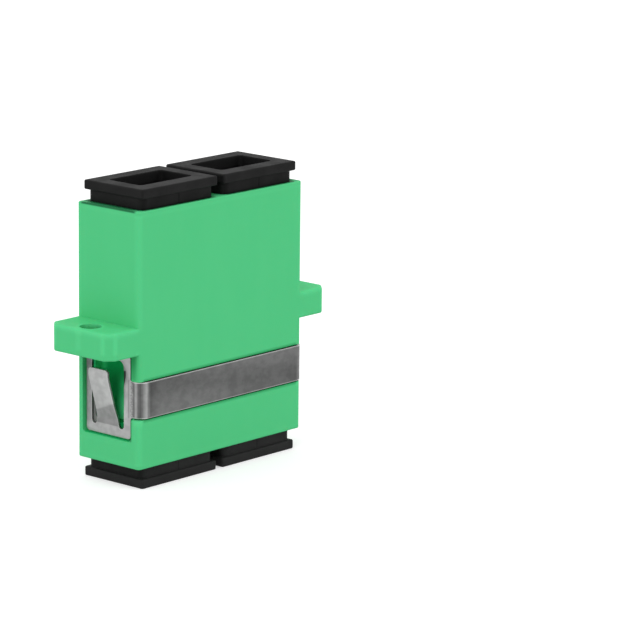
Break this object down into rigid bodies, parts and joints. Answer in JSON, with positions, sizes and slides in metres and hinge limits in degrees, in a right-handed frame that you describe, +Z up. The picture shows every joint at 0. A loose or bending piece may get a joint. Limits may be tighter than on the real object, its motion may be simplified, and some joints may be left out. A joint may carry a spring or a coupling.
{
  "type": "fibre optic adapter",
  "caption": "Panel-mount fibre adapter: green housing with mounting ears, steel spring clip with bent-out tongues, ceramic alignment sleeves and black pull-out dust caps.",
  "frame": {"origin": "on the resting face of the two lower dust caps, under the middle of the housing", "axes": "+X along the ears, +Y across the thin way from the strap side to the other side, +Z up along the fibres"},
  "size_m": [0.035, 0.0094, 0.0329],
  "materials": {
    "green_plastic": "satin moulded",
    "spring_steel": "satin stainless",
    "white_plastic": "natural, unpainted",
    "zirconia": "polished",
    "black_plastic": "fine matte"
  },
  "bodies": {
    "adapter": {"housing": "green_plastic", "spring_clip": "spring_steel", "latch_holder_top_left": "white_plastic", "latch_holder_top_right": "white_plastic", "latch_holder_bottom_left": "white_plastic", "latch_holder_bottom_right": "white_plastic", "split_sleeve_left": "zirconia", "split_sleeve_right": "zirconia"},
    "cap_top_left": {"dust_cap_top_left": "black_plastic"},
    "cap_top_right": {"dust_cap_top_right": "black_plastic"},
    "cap_bottom_left": {"dust_cap_bottom_left": "black_plastic"},
    "cap_bottom_right": {"dust_cap_bottom_right": "black_plastic"}
  },
  "joints": [
    {"name": "cap_top_left_pull", "type": "slide", "parent": "adapter", "child": "cap_top_left", "axis": [0, 0, 1], "range_m": [0, 0.012]},
    {"name": "cap_top_right_pull", "type": "slide", "parent": "adapter", "child": "cap_top_right", "axis": [0, 0, 1], "range_m": [0, 0.012]},
    {"name": "cap_bottom_left_pull", "type": "slide", "parent": "adapter", "child": "cap_bottom_left", "axis": [0, 0, -1], "range_m": [0, 0.012]},
    {"name": "cap_bottom_right_pull", "type": "slide", "parent": "adapter", "child": "cap_bottom_right", "axis": [0, 0, -1], "range_m": [0, 0.012]}
  ]
}
